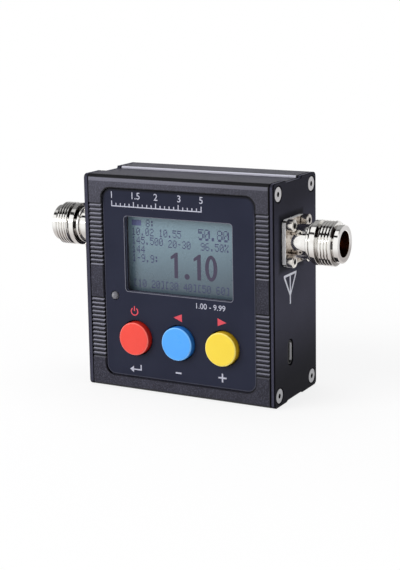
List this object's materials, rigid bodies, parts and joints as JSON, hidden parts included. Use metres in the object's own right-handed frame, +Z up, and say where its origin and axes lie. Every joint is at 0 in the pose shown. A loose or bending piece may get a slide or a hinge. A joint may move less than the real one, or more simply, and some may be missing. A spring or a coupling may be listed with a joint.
{
  "type": "swr meter",
  "caption": "Hand-held standing-wave meter: boxy ribbed case with display window, three round push-buttons, lamp, threaded radio sockets at both sides and a charging slot",
  "frame": {"origin": "middle of the underside of the whole meter's box", "axes": "+X from the left socket to the right socket, +Y from the front to the back, +Z up"},
  "size_m": [0.1236, 0.0398, 0.084],
  "materials": {
    "case_coating": "fine bead-blasted dark grey coating",
    "plate_coating": "satin dark grey coating",
    "label_film": "smooth dark film",
    "nickel": "bright nickel plating",
    "usb_steel": "plain stamped sheet",
    "screw_steel": "dull steel",
    "gold": "gold plating",
    "white_plastic": "white plastic",
    "black_plastic": "black plastic",
    "foam": "black foam",
    "board": "green solder resist",
    "display_glass": "grey-green liquid crystal glass",
    "battery_film": "silver film",
    "lamp_epoxy": "clear milky epoxy",
    "red_plastic": "red moulded plastic",
    "blue_plastic": "blue moulded plastic",
    "yellow_plastic": "yellow moulded plastic"
  },
  "bodies": {
    "case": {"battery_cell": "battery_film", "battery_lead": "black_plastic", "battery_pad": "foam", "battery_plug": "white_plastic", "blue_switch_body": "black_plastic", "blue_switch_dome": "screw_steel", "display_bezel": "usb_steel", "display_board": "board", "display_gasket": "foam", "display_glass": "display_glass", "display_light_guide": "white_plastic", "front_label": "label_film", "front_shell": "case_coating", "lamp_spacer": "black_plastic", "left_board_screw": "screw_steel", "left_board_spacer": "nickel", "left_end_plate": "plate_coating", "left_plate_screw_1": "screw_steel", "left_plate_screw_2": "screw_steel", "left_plate_screw_3": "screw_steel", "left_plate_screw_4": "screw_steel", "left_socket_bead": "white_plastic", "left_socket_body": "nickel", "left_socket_contact": "gold", "left_socket_screw_1": "screw_steel", "left_socket_screw_2": "screw_steel", "left_socket_screw_3": "screw_steel", "left_socket_screw_4": "screw_steel", "line_board": "board", "line_shield": "usb_steel", "main_board": "board", "processor_chip": "black_plastic", "rear_shell": "case_coating", "red_switch_body": "black_plastic", "red_switch_dome": "screw_steel", "right_board_screw": "screw_steel", "right_board_spacer": "nickel", "right_end_plate": "plate_coating", "right_plate_screw_1": "screw_steel", "right_plate_screw_2": "screw_steel", "right_plate_screw_3": "screw_steel", "right_plate_screw_4": "screw_steel", "right_socket_bead": "white_plastic", "right_socket_body": "nickel", "right_socket_contact": "gold", "right_socket_screw_1": "screw_steel", "right_socket_screw_2": "screw_steel", "right_socket_screw_3": "screw_steel", "right_socket_screw_4": "screw_steel", "status_lamp": "lamp_epoxy", "usb_shell": "usb_steel", "usb_tongue": "black_plastic", "yellow_switch_body": "black_plastic", "yellow_switch_dome": "screw_steel"},
    "red_button": {"red_button_cap": "red_plastic", "red_switch_stem": "white_plastic"},
    "blue_button": {"blue_button_cap": "blue_plastic", "blue_switch_stem": "white_plastic"},
    "yellow_button": {"yellow_button_cap": "yellow_plastic", "yellow_switch_stem": "white_plastic"}
  },
  "joints": [
    {"name": "red_button_press", "type": "slide", "parent": "case", "child": "red_button", "axis": [0, 1, 0], "range_m": [0, 0.0003], "stiffness_N_per_m": 1000, "springref_m": -0.0005},
    {"name": "blue_button_press", "type": "slide", "parent": "case", "child": "blue_button", "axis": [0, 1, 0], "range_m": [0, 0.0003], "stiffness_N_per_m": 1000, "springref_m": -0.0005},
    {"name": "yellow_button_press", "type": "slide", "parent": "case", "child": "yellow_button", "axis": [0, 1, 0], "range_m": [0, 0.0003], "stiffness_N_per_m": 1000, "springref_m": -0.0005}
  ]
}
